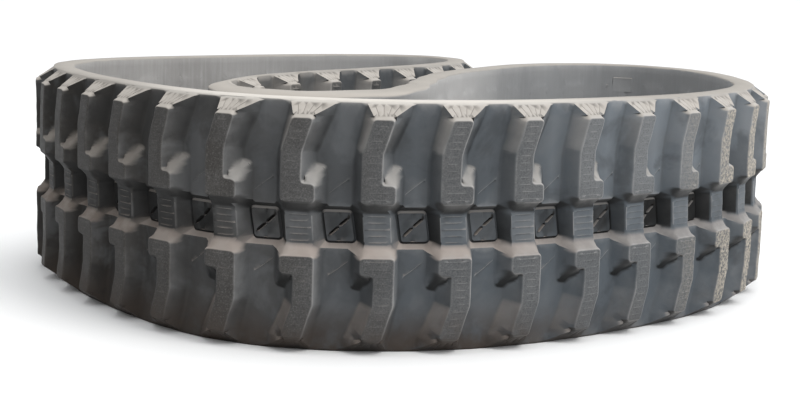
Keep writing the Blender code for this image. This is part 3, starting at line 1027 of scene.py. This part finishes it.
    def wear_and_highlight_share(self):
        """How pale the worn edges are, with a painted highlight: most on the right and on what faces right.
        """
        worn = self.times(self.wear, self.shift(self.patch, 0.35, 0.6, 0.4, 1.0))
        # Painted highlight: paler on the right and on what faces right.
        worn = self.times(worn, self.shift(self.right, 0, 1, 0.25, 0.75))
        return self.times(worn, self.shift(self.rightward, -0.3, 0.5, 0.25, 1.0))

    def hollow_shade_share(self):
        """How much painted shade darkens the hollows and cuts, unevenly in patches: most towards the upper
        rim, and whole in the deepest cuts.
        """
        # Painted shade, weaker low down and stronger from the windows' upper half to the upper rim.
        shade = self.shift(self.across, 0.112, 0.138, 0.55, 1.7)
        patchy = self.times(shade, self.shift(self.patch, 0.3, 0.6, 0.6, 0.95))
        hollow_shade = self.times(self.hollow, patchy, clamp=True)
        return self.math("MAXIMUM", hollow_shade, self.shift(self.hollow, 0.65, 0.95))

    def soil_and_shade_share(self):
        """How much wet soil and painted shade darken it low down, least on the right."""
        low = self.times(self.shift(self.height, 0.06, 0.0), self.shift(self.patch, 0.3, 0.6, 0.3, 0.95))
        return self.times(low, self.shift(self.along, 0.05, 0.30, 1.0, 0.15))

    def crust_share(self):
        """How much dry soil is caked on the contact faces at the far right."""
        lumps = self.shift(self.noise(self.place, 330.0, 5.0, 0.75), 0.40, 0.60)
        crust = self.times(lumps, self.shift(self.along, 0.28, 0.40))
        return self.times(crust, self.contact, clamp=True)


def rubber_material(name, smooth):
    """Moulded rubber with dust and painted light from above on what faces up, worn edges with a painted
    highlight, painted shade in hollows, soil and painted shade low down, and caked soil.
    """
    material = bpy.data.materials.new(name)
    n = Rubber(material)
    cover, crust = n.dust_and_top_light(), n.crust_share()
    colour = n.mix(cover, n.smooth_face() if smooth else n.tread_face(), n.dust_and_light_colour())
    colour = n.mix(n.wear_and_highlight_share(), colour, grey(0.36, 0.02))
    colour = n.mix(n.hollow_shade_share(), colour, HOLLOW_SHADE)
    colour = n.mix(n.soil_and_shade_share(), colour, SOIL_AND_SHADE)
    n.set("Base Color", n.mix(crust, colour, DRY_SOIL))
    bare = n.shift(n.patch, 0.3, 0.7, 0.5, 0.68)
    n.set("Roughness", n.math("ADD", bare, n.times(cover, 0.3), clamp=True))
    n.set("Specular IOR Level", 0.13)
    relief = n.math("ADD", n.times(n.grain, 0.35), n.times(n.patch, 1.2))
    relief = n.math("ADD", relief, n.times(crust, 1.5))
    n.set("Normal", n.add("Bump", {"Strength": 0.5, "Distance": 0.6 * MM, "Height": relief}))
    return material


def steel_material(name, colour, rust):
    """Scaled and worn steel with rust in patches."""
    material = bpy.data.materials.new(name)
    n = Nodes(material)
    place = n.add("TexCoord", output=3)
    patch = n.noise(place, 55.0, 7.0, 0.65)
    grain = n.noise(place, 480.0, 3.0)
    mixed = n.mix(n.shift(patch, 0.42, 0.62), colour, rust)
    n.set("Base Color", n.mix(n.times(grain, 0.3), mixed, grey(0.06)))
    n.set("Roughness", n.shift(patch, 0.35, 0.65, 0.42, 0.8))
    n.set("Metallic", n.shift(patch, 0.65, 0.42, 0.1, 0.85))
    n.set("Normal", n.add("Bump", {"Strength": 0.4, "Distance": 0.4 * MM, "Height": grain}))
    return material


def cord_material():
    """Brass-coated steel cords, side by side along the belt."""
    material = bpy.data.materials.new("brass_cord")
    n = Nodes(material)
    place = n.add("TexCoord", output=3)
    spacing = 3.2 * MM
    lay = n.math("SINE", n.times(n.part(place, 2), 2 * math.pi / spacing))
    tint = n.shift(n.noise(place, 60.0), 0.35, 0.65)
    n.set("Base Color", n.mix(tint, (0.55, 0.44, 0.24, 1), (0.42, 0.36, 0.27, 1)))
    n.set("Roughness", n.shift(tint, 0.0, 1.0, 0.3, 0.45))
    n.set("Metallic", 1.0)
    n.set("Normal", n.add("Bump", {"Strength": 0.8, "Distance": MM, "Height": lay}))
    return material


# ---- studio


# Lamps, turned to AIM: name, place, size in metres, power in watts and colour.
LAMPS = (
    ("key", (1.9, -1.5, 2.8), 1.4, 38, (1.0, 0.98, 0.95)),
    ("top", (0.0, 0.2, 3.2), 2.6, 30, (1.0, 0.99, 0.97)),
)
AIM = Vector((0, 0, 0.1))

# The camera: its distance in front, its height, its tilt and roll, and its lens in mm.
CAMERA_DISTANCE = 7.27 * WIDTH
CAMERA_HEIGHT = 1.494 * WIDTH
CAMERA_TILT = math.radians(90 - 8.88)
CAMERA_ROLL = math.radians(1.71)
SENSOR_WIDTH = 36.0
FOCAL_LENGTH = 65.5


def floor():
    """A plain pale floor."""
    bpy.ops.mesh.primitive_plane_add(size=160, location=(0, 0, 0))
    plane = bpy.context.object
    plane.name = "floor"
    paint = bpy.data.materials.new("floor_paint")
    n = Nodes(paint)
    n.set("Base Color", (0.88, 0.88, 0.88, 1))
    n.set("Roughness", 0.9)
    n.set("Specular IOR Level", 0.1)
    plane.data.materials.append(paint)


def studio():
    """A soft room that is white behind the track and dimmer in front and to the left, and the lamps."""
    world = bpy.data.worlds.new("studio")
    bpy.context.scene.world = world
    n = Nodes(world, "Background")
    way = n.add("TexCoord", output=0)
    x, y, z = (n.part(way, axis) for axis in range(3))
    front = n.math("ADD", n.shift(x, -0.7, 0.8, 0.14, 1.1), n.shift(z, 0.1, 0.8, 0.0, 0.72))
    behind = n.shift(y, -0.2, 0.45, 0.0, 0.95)
    n.set("Color", (0.97, 0.985, 1.0, 1))
    n.set("Strength", n.math("MAXIMUM", front, behind))
    for name, place, size, power, colour in LAMPS:
        light = bpy.data.lights.new(name, "AREA")
        light.size = size
        light.energy = power
        light.color = colour
        lamp = add_object(name, light)
        lamp.location = place
        lamp.rotation_euler = (AIM - lamp.location).to_track_quat("-Z", "Y").to_euler()
    bpy.context.scene.view_settings.view_transform = "Standard"


def camera():
    """Looks along +Y from in front, a little above the belt's upper edge and tilted down."""
    lens = bpy.data.cameras.new("camera")
    lens.sensor_width = SENSOR_WIDTH
    lens.lens = FOCAL_LENGTH
    eye = add_object("camera", lens)
    eye.location = (SHIFT[0], SHIFT[1] - CAMERA_DISTANCE * FOLD_SCALE, CAMERA_HEIGHT)
    tilt, roll = Matrix.Rotation(CAMERA_TILT, 4, "X"), Matrix.Rotation(CAMERA_ROLL, 4, "Z")
    eye.rotation_euler = (tilt @ roll).to_euler()
    bpy.context.scene.camera = eye


def main():
    """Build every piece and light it."""
    set_shift()
    tread_rubber = rubber_material("tread_rubber_worn", False)
    roller_rubber = rubber_material("roller_rubber_worn", True)
    rubber_piece("tread", ring(tread_template(), False), ring(hidden_template(False), True), 0.22 * MM,
                 ["tread_rubber"], tread_rubber)
    rubber_piece("roller_face", ring(hidden_template(True), False), ring(roller_template(), True), 0.25 * MM,
                 ["inner_rubber"], roller_rubber, moulded_pad())
    place_cores(steel_material("forged_steel", (0.19, 0.17, 0.15, 1), (0.16, 0.085, 0.045, 1)))
    brass = cord_material()
    for band in ("lower_cord_band", "upper_cord_band"):
        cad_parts[band].data.materials.clear()
        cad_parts[band].data.materials.append(brass)
    floor()
    studio()
    camera()
    bpy.context.view_layer.update()


main()
